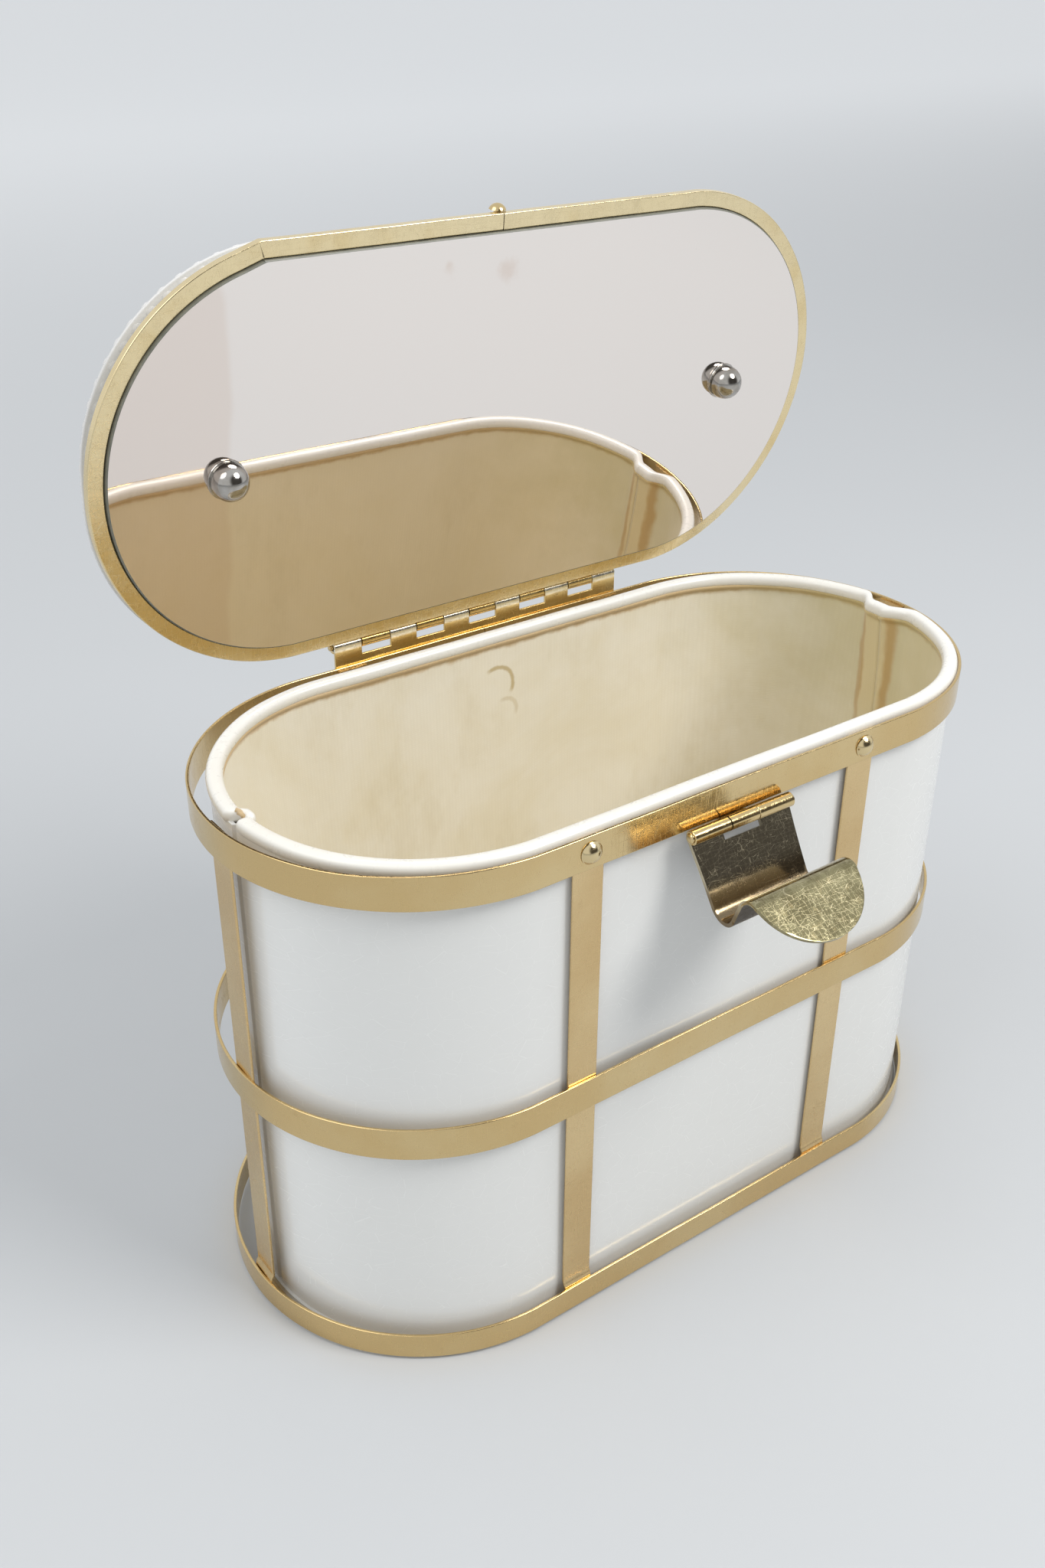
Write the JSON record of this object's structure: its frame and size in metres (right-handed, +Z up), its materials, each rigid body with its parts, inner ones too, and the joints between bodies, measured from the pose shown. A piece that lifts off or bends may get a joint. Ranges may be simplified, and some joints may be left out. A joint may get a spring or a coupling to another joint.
{
  "type": "jewellery box",
  "caption": "Oval-ended white jewellery box in a riveted brass band cage, with a hinged mirrored lid, a folding handle and a snap hasp.",
  "frame": {"origin": "middle of the base's underside, on the surface the box stands on", "axes": "+Z up, +X along the length, +Y to the back where the lid hinge is"},
  "size_m": [0.1914, 0.1319, 0.223],
  "materials": {
    "cage_brass": "worn satin gilt",
    "hasp_brass": "scratched bright brass",
    "nickel": "polished nickel",
    "white_sheet": "smooth satin white",
    "white_board": "matt white",
    "white_binding": "soft gloss white rolled edge",
    "pearl_trim": "pearly white beaded moulding",
    "lining_cloth": "aged beige satin cloth",
    "mirror_glass": "silvered glass with worn edges",
    "backing_card": "brown card"
  },
  "bodies": {
    "box": {"base_panel": "white_board", "base_lining": "lining_cloth", "front_wall": "white_sheet", "back_wall": "white_sheet", "front_lining": "lining_cloth", "back_lining": "lining_cloth", "front_roll": "white_binding", "back_roll": "white_binding", "bottom_band": "cage_brass", "middle_band": "cage_brass", "top_band": "cage_brass", "strap_front_left": "cage_brass", "strap_front_right": "cage_brass", "strap_back_left": "cage_brass", "strap_back_right": "cage_brass", "strap_left_end": "cage_brass", "strap_right_end": "cage_brass", "front_rivets": "cage_brass", "hinge_body_leaf": "cage_brass", "hinge_rivets": "cage_brass", "hinge_pin": "cage_brass", "hasp_bracket": "cage_brass", "hasp_pin": "cage_brass"},
    "lid": {"hinge_lid_leaf": "cage_brass", "lid_hinge_nails": "cage_brass", "lid_rim": "cage_brass", "lid_panel": "white_sheet", "lid_trim": "pearl_trim", "mirror_backing": "backing_card", "mirror": "mirror_glass", "mirror_nuts": "nickel", "handle_post_left": "cage_brass", "handle_post_right": "cage_brass", "catch_stud": "cage_brass"},
    "handle": {"handle": "cage_brass"},
    "hasp": {"hasp": "hasp_brass"}
  },
  "joints": [
    {"name": "lid_hinge", "type": "hinge", "parent": "box", "child": "lid", "pos_m": [0, 0.0475, 0.129], "axis": [-1, 0, 0], "range_deg": [-83, 22]},
    {"name": "hasp_hinge", "type": "hinge", "parent": "box", "child": "hasp", "pos_m": [-0.0017, -0.0479, 0.1165], "axis": [-1, 0, 0], "range_deg": [-35, 133]},
    {"name": "handle_swing", "type": "hinge", "parent": "lid", "child": "handle", "pos_m": [0, 0.04846, 0.17697], "axis": [1, 0, 0], "range_deg": [0, 180]}
  ]
}
